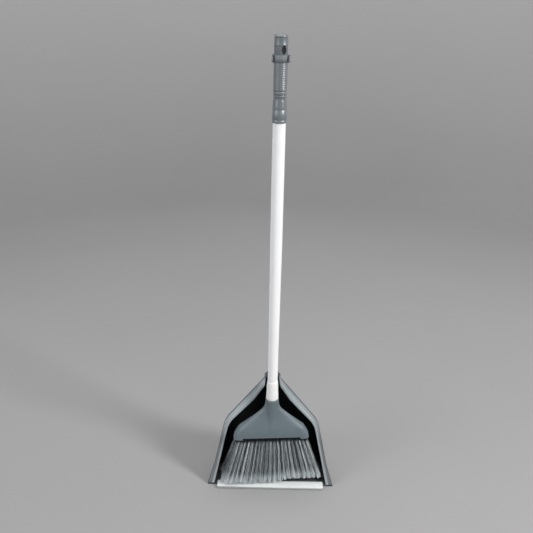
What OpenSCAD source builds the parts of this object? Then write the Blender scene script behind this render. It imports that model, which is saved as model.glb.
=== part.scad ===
// Upright dust pan and brush set. A tall scoop stands on its own flat floor and
// carries a long handle. A brush on a second long handle clips on in front of the
// first one and stands with its bristles over the scoop's floor and lip.
// The origin is on the ground at the middle of the footprint. +Z is up and the
// mouth of the pan faces -Y.

/* [Set] */
// Height of the set, from the ground to the top of the hanging caps
set_h = 880; // [700:1:1060]
// Distance between the centre lines of the two handles
handle_gap = 32; // [30:0.5:38]
// How far the brush head stands turned about its own handle, in degrees
head_turn = 4.5; // [0:0.5:7]
// How far the brush's hanging hole is turned away from the front, in degrees
hole_turn = 25; // [-40:1:40]

/* [Dust pan] */
// Depth of the pan, from the front of the lip to the back wall
pan_d = 100; // [84:1:130]
// Clear width between the side walls at the floor
mouth_w = 231; // [190:1:290]
// Clear width between the side walls at the shoulders
shoulder_w = 173; // [145:1:208]
// Clear width of the narrow neck at the top
neck_w = 30; // [26:1:40]
// How far the rim rises above the top of the brush head
rim_rise = 35; // [28:1:50]
// How far the rim leans forward, as a slope
rim_lean = 0.18; // [0.12:0.01:0.2]
// Thickness of the walls and of the rim
wall = 2.5; // [2:0.1:3.2]
// Thickness of the floor
floor_t = 3; // [2.5:0.1:4]
// Rim width over the shoulders
rim_shoulder = 12; // [10:0.2:16]
// Rim width down the sides
rim_side = 9.4; // [7:0.2:12]
// Rim width at the feet
rim_foot = 13.5; // [10:0.1:16]
// Radius of the curve between the floor and the back wall
heel_r = 22; // [14:1:28]

/* [Lip] */
// Width of the lip
lip_w = 216; // [170:1:228]
// Depth of the lip, front to back
lip_d = 19; // [15:0.5:24]
// Height of the lip at its back
lip_h = 6.5; // [5.5:0.1:8]
// Height of the lip at its front
lip_front_h = 5; // [4:0.1:5.4]
// How far the floor's tongue reaches into the lip
tongue_d = 12; // [9:0.5:13]

/* [Handles] */
// Radius of each tube at the grip
tube_r = 11; // [9.5:0.1:13.2]
// Radius of each tube at its lower end
tube_tip_r = 9.7; // [8:0.1:11.2]
// Wall thickness of the tubes
tube_wall = 1; // [0.8:0.1:1.2]
// Length of the grip, without its collar and cap
grip_l = 84; // [75:1:110]
// Length of the collar under the grip
collar_l = 25; // [18:1:32]
// Length of the hanging cap above the grip
cap_l = 30; // [28:1:40]
// Width of the hanging hole
hole_w = 8.5; // [6:0.5:10]
// Height of the hanging hole
hole_h = 15; // [12:0.5:18]

/* [Brush] */
// Length of the bristles below the head
bristle_l = 104; // [84:1:126]
// Height of the brush head, from the bristles to the ferrule
head_h = 88; // [76:1:106]
// Thickness of the brush head
head_d = 28; // [25:1:34]
// Gap between the head and the pan's side walls
head_side_gap = 14.5; // [13:0.5:20]
// Gap between the bristle tips and the pan's side walls
tip_side_gap = 15.5; // [12:0.5:20]
// Gap between the bristle tips and the top of the lip
tip_gap = 1.5; // [1:0.1:4]
// Number of tufts across the brush
tuft_cols = 20; // [12:1:22]
// Number of rows of tufts, front to back
tuft_rows = 4; // [3:1:5]
// Length of the ferrule
ferrule_l = 40; // [32:1:60]

/* [Fits] */
// Clearance between pieces that fit inside each other
fit = 0.05; // [0.03:0.01:0.1]
// Clearance round the brush handle in its clip
clip_play = 0.3; // [0.2:0.05:0.5]

/* [Hidden] */
$fn = 48;
eps = 0.01;

// Heights, from the ground up
tip_z = lip_h + tip_gap;
head_z0 = tip_z + bristle_l;
head_z1 = head_z0 + head_h;
pan_h = head_z1 + rim_rise;
neck_drop = 21;
neck_z = pan_h - neck_drop;
shoulder_z = head_z0 + 21;
grip_z0 = set_h - cap_l - grip_l;
grip_z1 = set_h - cap_l;

// Places, front to back
lip_y = -pan_d / 2;
back_y = pan_d / 2;
rim_setback = 13.7;
rim_foot_y = lip_y + rim_setback;
pan_y = rim_foot_y + pan_h * rim_lean + 4;
brush_y = pan_y - handle_gap;

function rim_y(z) = rim_foot_y + z * rim_lean;

// Rounds the corner at b between a and c with an arc of radius r in n steps
function unit(v) = v / norm(v);
function corner(a, b, c, r, n) =
  let (
    u = unit(a - b),
    v = unit(c - b),
    half = acos(u * v) / 2,
    reach = min(r / tan(half), norm(a - b) * 0.49, norm(c - b) * 0.49),
    p = b + u * reach,
    q = b + v * reach,
    rr = reach * tan(half),
    m = b + unit(u + v) * rr / sin(half),
    a0 = atan2(p.y - m.y, p.x - m.x),
    a1 = atan2(q.y - m.y, q.x - m.x),
    turn = a1 - a0 > 180 ? a1 - a0 - 360 : a1 - a0 < -180 ? a1 - a0 + 360 : a1 - a0
  )
  [for (i = [0:n]) m + rr * [cos(a0 + turn * i / n), sin(a0 + turn * i / n)]];

// A path of straight lines whose inner corners are rounded with the radii given
function rounded(pts, radii, n = 6) = [
  pts[0],
  for (i = [1:len(pts) - 2]) each corner(pts[i - 1], pts[i], pts[i + 1], radii[i - 1], n),
  pts[len(pts) - 1]
];

// Where two lines meet: through p along u, and through q along v
function meet(p, u, q, v) =
  p + u * ((q.x - p.x) * v.y - (q.y - p.y) * v.x) / (u.x * v.y - u.y * v.x);
function left_of(u) = [-u.y, u.x];

// Outlines of the mouth and of the rim as half paths of [x, z], top to bottom
neck_pt = [neck_w / 2, neck_z];
neck_foot_pt = neck_pt + [21, -30];
shoulder_pt = [shoulder_w / 2, shoulder_z];
mouth_pts = [
  [neck_w / 2 - 2, pan_h],
  neck_pt,
  neck_foot_pt,
  shoulder_pt,
  [mouth_w / 2, 0]
];
shoulder_dir = unit(shoulder_pt - neck_pt);
side_dir = unit([mouth_w / 2, 0] - shoulder_pt);
rim_corner = meet(
  shoulder_pt + left_of(shoulder_dir) * rim_shoulder, shoulder_dir,
  shoulder_pt + left_of(side_dir) * rim_side, side_dir
);
rim_top = meet([neck_w / 2 - 1, 0], [0, 1], rim_corner, shoulder_dir);
foot_z = 47;
rim_pts = [
  rim_top,
  rim_corner,
  [mouth_w / 2 + rim_side - foot_z * side_dir.x / -side_dir.y, foot_z],
  [mouth_w / 2 + rim_foot, 0]
];
mouth_path = rounded(mouth_pts, [10, 60, 48]);
rim_path = rounded(rim_pts, [52, 60]);
function flip(path) = [for (p = path) [p.y, p.x]];
function mouth_x(z) = lookup(z, flip(mouth_path));
function rim_x(z) = lookup(z, flip(rim_path));

// Inside of the back wall: bowed down from the neck, and rounded at the heel
back_in = back_y - wall;
back_top = pan_y + 5;
heel_z = floor_t + heel_r;
function back_bow(z) =
  back_in - (back_in - back_top) * pow(max(0, z - heel_z) / (pan_h - heel_z), 2.2);
function heel_dip(z) =
  z >= heel_z ? 0 : heel_r - sqrt(max(0, heel_r * heel_r - (heel_z - z) * (heel_z - z)));
function back_at(z) = back_bow(z) - heel_dip(z);

// A wall seen from above: a squared arch of half width w from y0 back to y1
arch_steps = 20;
arch_power = 0.42;
function arch(w, y0, y1, z) = [
  for (i = [0:arch_steps])
    let (a = 180 * i / arch_steps, c = cos(a), s = max(0, sin(a)))
      [w * sign(c) * pow(abs(c), arch_power), y0 + (y1 - y0) * pow(s, arch_power), z]
];

// One level of the pan: out round the rim and the outside, and back on the inside
function pan_ring(z) =
  let (
    y = rim_y(z),
    zi = floor_t + z * (pan_h - 2 * floor_t) / pan_h,
    yi = rim_y(zi),
    r = max(rim_x(z), mouth_x(z) + wall + 0.2)
  )
  concat(
    [[r, y, z], [r, y + wall, z]],
    arch(mouth_x(z) + wall, y + wall, back_at(zi) + wall, z),
    [[-r, y + wall, z], [-r, y, z]],
    [for (i = [arch_steps:-1:0]) arch(mouth_x(zi), yi, back_at(zi), zi)[i]]
  );

// Levels of the pan, close together at the heel and over the shoulders
heel_steps = 5;
side_steps = 4;
top_steps = 11;
pan_levels = concat(
  [for (i = [0:heel_steps]) heel_z * (1 - cos(90 * i / heel_steps))],
  [for (i = [1:side_steps]) heel_z + (shoulder_z - 18 - heel_z) * i / side_steps],
  [for (i = [1:top_steps]) shoulder_z - 18 + (pan_h - shoulder_z + 18) * i / top_steps]
);

// Skins a stack of equal rings and closes both ends; split is where the inside starts
module skin(rings, split) {
  n = len(rings[0]);
  top = len(rings) - 1;
  points = [for (ring = rings) each ring];
  sides = [
    for (k = [0:top - 1], i = [0:n - 1])
      let (a = k * n + i, b = k * n + (i + 1) % n)
        each [[a, a + n, b], [b, a + n, b + n]]
  ];
  function loop(k, i0, i1) = [for (i = [i0:i1]) k * n + i];
  function ends(k) = [
    loop(k, 0, split - 1),
    loop(k, split, n - 1),
    [k * n, k * n + split - 1, k * n + split, k * n + n - 1]
  ];
  function back(face) = [for (i = [len(face) - 1:-1:0]) face[i]];
  polyhedron(
    points,
    concat(sides, [for (f = ends(0)) f], [for (f = ends(top)) back(f)]),
    convexity = 6
  );
}

// Places the pieces of each handle, and turns the head about its own handle
module at_pan() {
  translate([0, pan_y, 0]) children();
}
module at_brush(turn = 0) {
  translate([0, brush_y, 0]) rotate([0, 0, turn]) children();
}

// Colours
slate = "#6b777e";
dark = "#33383b";
white_paint = "#f1f2f2";
steel = "#b9bdc0";

// ---- Dust pan ----

socket_r = tube_tip_r + 2.9;
socket_z0 = head_z1 + 5;
socket_z1 = pan_h + 3;
tube_z0 = socket_z0 + 7;
screw_z = tube_z0 + 11;
screw_r = 1.8;
screw_head_r = 3.6;
lip_in = lip_y + lip_d;
tongue_z = 1;

module pan_shell() {
  color(dark) difference() {
    union() {
      difference() {
        skin([for (z = pan_levels) pan_ring(z)], arch_steps + 5);
        // Room for the lip in front of the floor
        translate([-lip_w / 2 - fit, lip_y - 1, -1]) cube([lip_w + 2 * fit, lip_d + 1 + fit, lip_h + 1]);
      }
      // Socket for the handle, with a domed foot inside the pan
      at_pan() translate([0, 0, socket_z0]) cylinder(h = socket_z1 - socket_z0, r = socket_r);
      at_pan() translate([0, 0, socket_z0 - 8])
        cylinder(h = 8 + eps, r1 = socket_r - 5, r2 = socket_r);
      // Band round the top of the socket
      at_pan() translate([0, 0, socket_z1 - 5]) cylinder(h = 5, r = socket_r + 0.8);
      // Tongue that carries the lip
      translate([-lip_w / 2 + 3, lip_in - tongue_d, tongue_z])
        cube([lip_w - 6, tongue_d + 8, floor_t - tongue_z]);
    }
    // Bore for the tube, and the hole and seat for the screw behind it
    at_pan() translate([0, 0, tube_z0]) cylinder(h = socket_z1, r = tube_tip_r + fit);
    at_pan() translate([0, 0, screw_z]) rotate([-90, 0, 0]) cylinder(h = 40, r = screw_r + fit);
    at_pan() translate([0, socket_r - 0.6, screw_z]) rotate([-90, 0, 0])
      cylinder(h = 20, r = screw_head_r + 1);
  }
}

// Profile of the lip as [y, z]: thick at the back, with a rounded front edge
nose_r = 2.4;
lip_profile = concat(
  [[lip_y + 1.2, 0]],
  corner([lip_y + 1.2, 0], [lip_y, 1], [lip_y, lip_front_h], 1, 3),
  corner([lip_y, 0], [lip_y, lip_front_h], [lip_in, lip_h], nose_r, 5),
  corner([lip_y, lip_front_h], [lip_in, lip_h], [lip_in, 0], 0.8, 3),
  [[lip_in, 0]]
);

module pan_lip() {
  color(white_paint) difference() {
    rotate([90, 0, 90]) linear_extrude(lip_w, center = true) polygon(lip_profile);
    translate([-lip_w / 2 + 3 - fit, lip_in - tongue_d - fit, tongue_z - fit])
      cube([lip_w - 6 + 2 * fit, tongue_d + 1, floor_t - tongue_z + 2 * fit]);
  }
}

// A tube that narrows between its upper and lower stretches, from z0 up
swage_z0 = 300;
swage_z1 = 520;
module tube(z0) {
  color(white_paint) rotate_extrude() polygon([
    [tube_tip_r, z0],
    [tube_tip_r, swage_z0],
    [tube_r, swage_z1],
    [tube_r, grip_z0],
    [tube_r - tube_wall, grip_z0],
    [tube_r - tube_wall, swage_z1],
    [tube_tip_r - tube_wall, swage_z0],
    [tube_tip_r - tube_wall, z0]
  ]);
}
module pan_tube() {
  difference() {
    at_pan() tube(tube_z0);
    at_pan() translate([0, 0, screw_z]) rotate([-90, 0, 0]) cylinder(h = 30, r = screw_r + fit);
  }
}
module brush_tube() {
  at_brush() tube(ferrule_z0 + plug_flange);
}

plug_l = 46;
plug_r = tube_tip_r - tube_wall - fit;
module pan_plug() {
  color(dark) at_pan() difference() {
    translate([0, 0, tube_z0]) cylinder(h = plug_l, r = plug_r);
    translate([0, 0, screw_z]) rotate([-90, 0, 0]) cylinder(h = 30, r = screw_r);
    translate([0, 0, tube_z0 + plug_l - 12]) cylinder(h = 20, r = plug_r - 2.5);
  }
}

module pan_screw() {
  color(steel) at_pan() translate([0, 0, screw_z]) rotate([-90, 0, 0]) difference() {
    union() {
      translate([0, 0, 2]) cylinder(h = socket_r - 2.6, r = screw_r);
      translate([0, 0, socket_r - 0.6]) cylinder(h = 1.8, r = screw_head_r);
    }
    for (a = [0, 90]) rotate([0, 0, a]) translate([-2, -0.4, socket_r]) cube([4, 0.8, 4]);
  }
}

// ---- Grip, collar and cap, the same on both handles ----

grip_r = tube_r + 0.7;
waist_r = tube_r - 0.65;
collar_r = tube_r + 1.3;
bore_r = tube_r - 3.2;
spigot_r = tube_r - tube_wall - fit;
spigot_l = 26;
rib_count = 16;
rib_pitch = 2.8;
rib_z0 = 28;
clip_h = 11;
seat_z0 = grip_l - clip_h - 1;

function ribs(z0, n, pitch, low, high) = [
  for (i = [0:n - 1])
    each [
      [low, z0 + i * pitch],
      [high, z0 + (i + 0.25) * pitch],
      [high, z0 + (i + 0.65) * pitch],
      [low, z0 + (i + 0.9) * pitch]
    ]
];

// Outside of the grip from its shoulder up: cone, waist, two bands, ribs and clip seat
grip_outside = concat(
  [
    [spigot_r, -spigot_l], [spigot_r, 0], [collar_r - 0.3, 0], [collar_r - 0.3, 1.5],
    [waist_r + 0.2, 12.5], [waist_r, 14], [waist_r, 17.5], [grip_r - 0.2, 19],
    [grip_r - 0.2, 20], [grip_r - 1.3, 20.4], [grip_r - 1.3, 21.4], [grip_r - 0.2, 21.8],
    [grip_r, 25.6], [grip_r - 1.3, 26], [grip_r - 1.3, 27.2]
  ],
  ribs(rib_z0, rib_count, rib_pitch, grip_r - 0.55, grip_r),
  [[grip_r, seat_z0], [grip_r, grip_l]]
);

module grip() {
  color(slate) translate([0, 0, grip_z0]) difference() {
    rotate_extrude() polygon(concat(
      grip_outside,
      [[cap_spigot_r + fit, grip_l], [cap_spigot_r + fit, grip_l - cap_spigot_l - 1]],
      [[bore_r, grip_l - cap_spigot_l - 2], [bore_r, -spigot_l]]
    ));
    // Flutes round the waist
    for (a = [0:30:330]) rotate([0, 0, a]) translate([waist_r + 0.7, 0, 12.5]) cylinder(h = 5, r = 1.1);
  }
}
module pan_grip() {
  at_pan() grip();
}
module brush_grip() {
  at_brush(hole_turn) grip();
}

module collar() {
  z0 = grip_z0 - collar_l;
  color(slate) translate([0, 0, z0]) rotate_extrude() polygon([
    [tube_r + fit, 0],
    [collar_r - 0.5, 0],
    [collar_r, 1],
    [collar_r, 4.6],
    [collar_r - 0.5, 5.1],
    [collar_r - 0.1, 5.8],
    [collar_r - 0.1, collar_l - 4],
    [collar_r - 0.7, collar_l - 3.4],
    [collar_r - 0.7, collar_l - 2.4],
    [collar_r - 0.1, collar_l - 1.8],
    [collar_r - 0.3, collar_l],
    [tube_r + fit, collar_l]
  ]);
}
module pan_collar() {
  at_pan() collar();
}
module brush_collar() {
  at_brush() collar();
}

cap_spigot_r = tube_r - 2.4;
cap_spigot_l = 12;
cap_r = tube_r + 0.3;
module cap() {
  color(slate) translate([0, 0, grip_z1]) difference() {
    rotate_extrude() polygon([
      [0, -cap_spigot_l],
      [cap_spigot_r - 0.4, -cap_spigot_l],
      [cap_spigot_r, -cap_spigot_l + 1],
      [cap_spigot_r, 0],
      [cap_r - 0.5, 0],
      [cap_r + 0.1, 0.8],
      [cap_r + 0.1, cap_l - 15],
      [cap_r - 0.3, cap_l - 14.2],
      [cap_r - 0.3, cap_l - 13.6],
      [cap_r, cap_l - 13],
      [cap_r - 0.3, cap_l - 1.2],
      [cap_r - 1.2, cap_l],
      [0, cap_l]
    ]);
    // Hanging hole, straight through, longer than it is wide
    for (s = [-1, 1]) hole_end(s);
    translate([-hole_w / 2, -30, hole_z - (hole_h - hole_w) / 2])
      cube([hole_w, 60, hole_h - hole_w]);
  }
}
hole_z = 8.2;
module hole_end(side) {
  translate([0, -30, hole_z + side * (hole_h - hole_w) / 2])
    rotate([-90, 0, 0]) cylinder(h = 60, r = hole_w / 2);
}
module pan_cap() {
  at_pan() cap();
}
module brush_cap() {
  at_brush(hole_turn) cap();
}

// Snap clip: a ring on the pan's grip and two arms round the brush's grip
ring_t = 1.8;
arm_t = 1.5;
ear_w = 3;
ear_h = clip_h + 0.6;
arm_r = grip_r + clip_play;
clip_z = grip_z0 + seat_z0;
module brush_clip() {
  color(dark) translate([0, 0, clip_z]) difference() {
    union() {
      at_pan() cylinder(h = clip_h, r = grip_r + fit + ring_t);
      at_brush() cylinder(h = clip_h, r = arm_r + arm_t);
      translate([-5, brush_y, 0]) cube([10, handle_gap, clip_h]);
      for (s = [-1, 1]) {
        translate([s > 0 ? arm_r : -arm_r - arm_t, brush_y - 4, 0]) cube([arm_t, 4, clip_h]);
        // Ear that a thumb presses, with a window in it
        translate([s > 0 ? arm_r : -arm_r - ear_w, brush_y - 5.5, 1]) difference() {
          cube([ear_w, 1.6, ear_h]);
          translate([s > 0 ? 1.3 : 0.5, -1, 1.8]) cube([ear_w - 1.8, 4, ear_h - 3.6]);
        }
      }
    }
    at_pan() translate([0, 0, -1]) cylinder(h = clip_h + 2, r = grip_r + fit);
    at_brush() translate([0, 0, -1]) cylinder(h = clip_h + 2, r = arm_r);
    translate([-arm_r, brush_y - 30, -1]) cube([2 * arm_r, 30, clip_h + 2]);
  }
}

// ---- Brush ----

ferrule_r = tube_tip_r + 1.5;
ferrule_z0 = head_z1;
plug_flange = 6;
thread_r = 7.4;
thread_l = 32;
neck_r = tube_tip_r + 3;

module ferrule() {
  color(white_paint) at_brush() translate([0, 0, ferrule_z0]) rotate_extrude() polygon([
    [tube_tip_r + fit, 0],
    [ferrule_r - 0.3, 0],
    [ferrule_r + 0.5, 0.9],
    [ferrule_r + 0.8, 2.4],
    [ferrule_r + 0.8, 8],
    [ferrule_r + 0.2, 16],
    [ferrule_r, ferrule_l - 9],
    [tube_tip_r + 0.7, ferrule_l - 0.4],
    [tube_tip_r + 0.4, ferrule_l],
    [tube_tip_r + fit, ferrule_l]
  ]);
}

module thread_plug() {
  turns = 9;
  pitch = 3;
  color(dark) at_brush() translate([0, 0, ferrule_z0]) rotate_extrude() polygon(concat(
    [[0, -thread_l], [thread_r - 1.6, -thread_l]],
    ribs(-thread_l + 1, turns, pitch, thread_r - 1, thread_r),
    [
      [thread_r - 1, 0], [tube_tip_r - fit, 0], [tube_tip_r - fit, plug_flange],
      [plug_r, plug_flange], [plug_r, 40], [plug_r - 1, 41], [0, 41]
    ]
  ));
}

// Head outline as a half path of [x, z], top to bottom, inset by a wall
head_shoulder_z = head_z0 + 23;
head_side_z = head_z0 + 8;
function head_path(t) = rounded([
  [neck_r - t, head_z1],
  [neck_r + 2 - t, head_z1 - 20],
  [mouth_x(head_shoulder_z) - head_side_gap - 4 - t, head_shoulder_z - t],
  [mouth_x(head_side_z) - head_side_gap - t, head_side_z - t],
  [mouth_x(head_z0) - head_side_gap - t, head_z0]
], [40, 20, 40], 5);
function both(path) = concat(path, [for (i = [len(path) - 1:-1:0]) [-path[i].x, path[i].y]]);

// Head from the side as a half path of [y, z]
head_top_d = 17;
function head_side(t) = rounded([
  [head_top_d / 2 - t, head_z1],
  [head_top_d / 2 - t, head_z0 + 56],
  [head_d / 2 - t, head_z0 + 26],
  [head_d / 2 - t, head_z0]
], [60, 50], 4);

module bell(t, top, bottom) {
  intersection() {
    rotate([90, 0, 0]) linear_extrude(head_d + 2, center = true) polygon(both(head_path(t)));
    rotate([90, 0, 90]) linear_extrude(mouth_w, center = true) polygon(both(head_side(t)));
    translate([-mouth_w / 2, -head_d, bottom]) cube([mouth_w, 2 * head_d, top - bottom]);
  }
}

block_h = 17;
block_z0 = head_z0 + 1;
slot_h = 4;
neck_l = 52;
neck_foot_r = 8.8;
slot_w = 116;
screw_xs = [-54, -20, 20, 54];
block_screw_z = block_z0 + 13;
block_screw_r = 1.5;

module head_shell() {
  color(slate) at_brush(head_turn) difference() {
    union() {
      bell(0, head_z1, head_z0);
      // Round neck that runs down into the bell
      translate([0, 0, head_z1 - neck_l]) cylinder(h = neck_l, r1 = neck_foot_r, r2 = neck_r);
    }
    difference() {
      bell(wall, head_z0 + 40, head_z0 - 1);
      translate([0, 0, head_z1 - neck_l]) cylinder(h = neck_l, r1 = neck_foot_r, r2 = neck_r);
    }
    translate([-mouth_w / 2, -head_d, head_z0 - 2]) cube([mouth_w, 2 * head_d, 2]);
    translate([0, 0, head_z1 - thread_l - 1]) cylinder(h = thread_l + 2, r = thread_r + fit);
    // Cut-out along the lower edge of the front
    translate([-slot_w / 2, -head_d, head_z0 - 1])
      cube([slot_w, head_d / 2 + wall + 0.5, slot_h + 1]);
    for (x = screw_xs) translate([x, 0, block_screw_z]) rotate([-90, 0, 0])
      cylinder(h = head_d, r = block_screw_r + fit);
  }
}

block_w = 2 * (lookup(block_z0 + block_h, flip(head_path(wall))) - 0.5);
block_d = head_d - 2 * (wall + 0.3);
root_up = 8;
tuft_r = 2.2;
tuft_tip_r = 3.3;
root_half = block_w / 2 - tuft_r - 1.8;
tip_half = mouth_x(tip_z) - tip_side_gap;
row_pitch = (block_d - 6.5) / (tuft_rows - 1);
row_splay = 2.1;

function tuft_u(i) = -1 + 2 * i / (tuft_cols - 1);
function row_at(j) = (j - (tuft_rows - 1) / 2) * row_pitch;
// Every other row is set over by a quarter of a pitch
function tuft_shift(j) = (j % 2 == 0 ? 0.25 : -0.25) / (tuft_cols - 1) * 2;
function tuft_root(i, j) =
  [(tuft_u(i) * 0.97 + tuft_shift(j)) * root_half, row_at(j), block_z0 + root_up];
function tuft_tip(i, j) =
  [(tuft_u(i) * 0.97 + tuft_shift(j)) * tip_half, row_at(j) * row_splay, tip_z + tuft_tip_r * 0.3];

// Puts its children at a tuft's root with +Z pointing down to the tip
module along_tuft(i, j) {
  v = tuft_tip(i, j) - tuft_root(i, j);
  translate(tuft_root(i, j))
    rotate([0, acos(v.z / norm(v)), atan2(v.y, v.x)]) children();
}
module each_tuft() {
  for (i = [0:tuft_cols - 1], j = [0:tuft_rows - 1]) along_tuft(i, j) children();
}

module bristle_block() {
  color("#23272a") at_brush(head_turn) difference() {
    translate([-block_w / 2, -block_d / 2, block_z0]) cube([block_w, block_d, block_h]);
    each_tuft() translate([0, 0, -2.4]) cylinder(h = 14, r = tuft_r + fit);
    for (x = screw_xs) translate([x, block_d / 2 - 6, block_screw_z]) rotate([-90, 0, 0])
      cylinder(h = head_d, r = block_screw_r);
  }
}

module tuft_staples() {
  color(steel) at_brush(head_turn) each_tuft()
    translate([-tuft_r + 0.3, -0.2, -2.2]) cube([2 * tuft_r - 0.6, 0.4, 1.8]);
}

module bristles() {
  color("#59646a") at_brush(head_turn)
    for (i = [0:tuft_cols - 1], j = [0:tuft_rows - 1]) along_tuft(i, j) {
      tuft_l = norm(tuft_tip(i, j) - tuft_root(i, j));
      cylinder(h = 10, r = tuft_r);
      translate([0, 0, 10 - eps]) cylinder(h = tuft_l - 10, r1 = tuft_r, r2 = tuft_tip_r);
    }
}

module block_screws() {
  color(steel) at_brush(head_turn) for (x = screw_xs)
    translate([x, 0, block_screw_z]) rotate([-90, 0, 0]) {
      translate([0, 0, block_d / 2 - 5.5]) cylinder(h = head_d / 2 - block_d / 2 + 5.6, r = block_screw_r);
      difference() {
        translate([0, 0, head_d / 2]) cylinder(h = 1.4, r = 2.9);
        for (a = [0, 90]) rotate([0, 0, a]) translate([-1.7, -0.35, head_d / 2 + 0.6]) cube([3.4, 0.7, 2]);
      }
    }
}

pan_shell();
pan_lip();
pan_plug();
pan_screw();
pan_tube();
pan_collar();
pan_grip();
pan_cap();
brush_clip();
brush_cap();
brush_grip();
brush_collar();
brush_tube();
ferrule();
thread_plug();
head_shell();
bristle_block();
tuft_staples();
bristles();
block_screws();
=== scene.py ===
import math

import bmesh
import bpy
from mathutils import Matrix, Vector


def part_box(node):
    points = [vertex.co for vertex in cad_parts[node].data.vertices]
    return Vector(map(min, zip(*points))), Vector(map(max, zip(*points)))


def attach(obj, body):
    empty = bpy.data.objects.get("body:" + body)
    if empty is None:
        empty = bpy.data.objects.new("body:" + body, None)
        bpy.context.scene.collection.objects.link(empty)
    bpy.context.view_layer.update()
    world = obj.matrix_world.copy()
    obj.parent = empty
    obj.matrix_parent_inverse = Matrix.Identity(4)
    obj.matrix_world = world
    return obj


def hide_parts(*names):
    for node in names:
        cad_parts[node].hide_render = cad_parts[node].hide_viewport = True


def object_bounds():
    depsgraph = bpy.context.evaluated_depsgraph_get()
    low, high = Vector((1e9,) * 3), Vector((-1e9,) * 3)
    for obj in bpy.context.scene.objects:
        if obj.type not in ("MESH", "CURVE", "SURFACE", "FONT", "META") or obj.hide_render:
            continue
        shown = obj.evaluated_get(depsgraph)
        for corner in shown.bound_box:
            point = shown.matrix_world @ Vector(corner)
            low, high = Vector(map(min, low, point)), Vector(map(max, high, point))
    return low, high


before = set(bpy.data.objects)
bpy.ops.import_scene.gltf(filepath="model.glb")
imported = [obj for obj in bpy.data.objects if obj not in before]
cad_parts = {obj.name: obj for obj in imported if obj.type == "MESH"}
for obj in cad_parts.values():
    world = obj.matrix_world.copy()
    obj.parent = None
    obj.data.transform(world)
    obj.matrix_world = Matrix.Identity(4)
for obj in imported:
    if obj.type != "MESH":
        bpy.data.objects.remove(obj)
cadBox = [list(corner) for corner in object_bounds()]
scene = bpy.context.scene
print("frame loaded")


# where things are, read from the frame

def centreOf(node):
    low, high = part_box(node)
    return (low + high) / 2


panAxisY = centreOf("pan_tube").y
brushAxisY = centreOf("brush_tube").y
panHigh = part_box("pan_shell")[1]
lipLow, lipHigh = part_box("pan_lip")
setTop = cadBox[1][2]


# camera

cameraSet = {
    "lens": 46.03,  # mm on a 36 mm sensor
    "pitch": 22.0,  # degrees below the horizon
    "roll": 1.17,  # degrees
    "distance": 1.150,  # from the brush's handle
    "height": 0.945,
    "aside": -0.0165,
}


def makeCamera(s):
    data = bpy.data.cameras.new("camera")
    data.lens = s["lens"]
    data.sensor_width = 36.0
    camera = bpy.data.objects.new("camera", data)
    scene.collection.objects.link(camera)
    pitch = math.radians(s["pitch"])
    roll = math.radians(s["roll"])
    forward = Vector((0, math.cos(pitch), -math.sin(pitch)))
    flatRight = Vector((1, 0, 0))
    flatUp = flatRight.cross(forward)
    right = flatRight * math.cos(roll) + flatUp * math.sin(roll)
    up = flatUp * math.cos(roll) - flatRight * math.sin(roll)
    turn = Matrix((right, up, -forward)).transposed().to_4x4()
    place = Vector((s["aside"], brushAxisY - s["distance"], s["height"]))
    camera.matrix_world = Matrix.Translation(place) @ turn
    scene.camera = camera


makeCamera(cameraSet)
print("camera placed")


# shader helpers

def setInputs(tree, node, inputs):
    # links a socket, or sets a plain value
    for name, value in inputs.items():
        if isinstance(value, bpy.types.NodeSocket):
            tree.links.new(value, node.inputs[name])
        else:
            node.inputs[name].default_value = value


def addNode(tree, kind, inputs=None, **settings):
    node = tree.nodes.new(kind)
    for name, value in settings.items():
        setattr(node, name, value)
    setInputs(tree, node, inputs or {})
    return node


def newGroup(name, inputs, outputs):
    tree = bpy.data.node_groups.new(name, "ShaderNodeTree")
    for label, kind, value in inputs:
        made = tree.interface.new_socket(label, in_out="INPUT", socket_type=kind)
        made.default_value = value
    for label, kind in outputs:
        tree.interface.new_socket(label, in_out="OUTPUT", socket_type=kind)
    return tree, tree.nodes.new("NodeGroupInput"), tree.nodes.new("NodeGroupOutput")


def useGroup(tree, group, inputs):
    node = tree.nodes.new("ShaderNodeGroup")
    node.node_tree = group
    setInputs(tree, node, inputs)
    return node


def mixColor(tree, factor, first, second):
    # a Mix node's colour sockets are 6 and 7, and its colour comes out of 2
    node = addNode(tree, "ShaderNodeMix", {0: factor, 6: first, 7: second}, data_type="RGBA")
    return node.outputs[2]


def mapped(tree, value, low, high, toLow, toHigh):
    node = addNode(tree, "ShaderNodeMapRange", {
        "Value": value, "From Min": low, "From Max": high, "To Min": toLow, "To Max": toHigh,
    })
    return node.outputs["Result"]


def multiply(tree, first, second, clamp=False):
    node = addNode(tree, "ShaderNodeMath", {0: first, 1: second}, operation="MULTIPLY", use_clamp=clamp)
    return node.outputs[0]


def noise(tree, place, scale, detail, rough=0.5):
    node = addNode(tree, "ShaderNodeTexNoise", {
        "Vector": place, "Scale": scale, "Detail": detail, "Roughness": rough,
    })
    return node.outputs["Fac"]


floatKind = "NodeSocketFloat"
colorKind = "NodeSocketColor"
grainSet = {
    "fineDetail": 3.0,
    "slowDetail": 5.0,
    "slowShare": 0.6,  # height of the slow unevenness against the grain
    "depth": 0.0002,  # of the bump, in metres
    "mottleLow": 0.3,
    "mottleHigh": 0.7,
}
wearSet = {
    "edgeFrom": 0.52,  # pointiness where wear starts, and where it is full
    "edgeTo": 0.6,
    "patchScale": 60.0,
    "patchDetail": 6.0,
    "patchRough": 0.6,
    "upFrom": 0.2,  # how far a face has to look up before dust lies on it
    "settleFrom": 0.35,
    "settleTo": 0.65,
}


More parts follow.
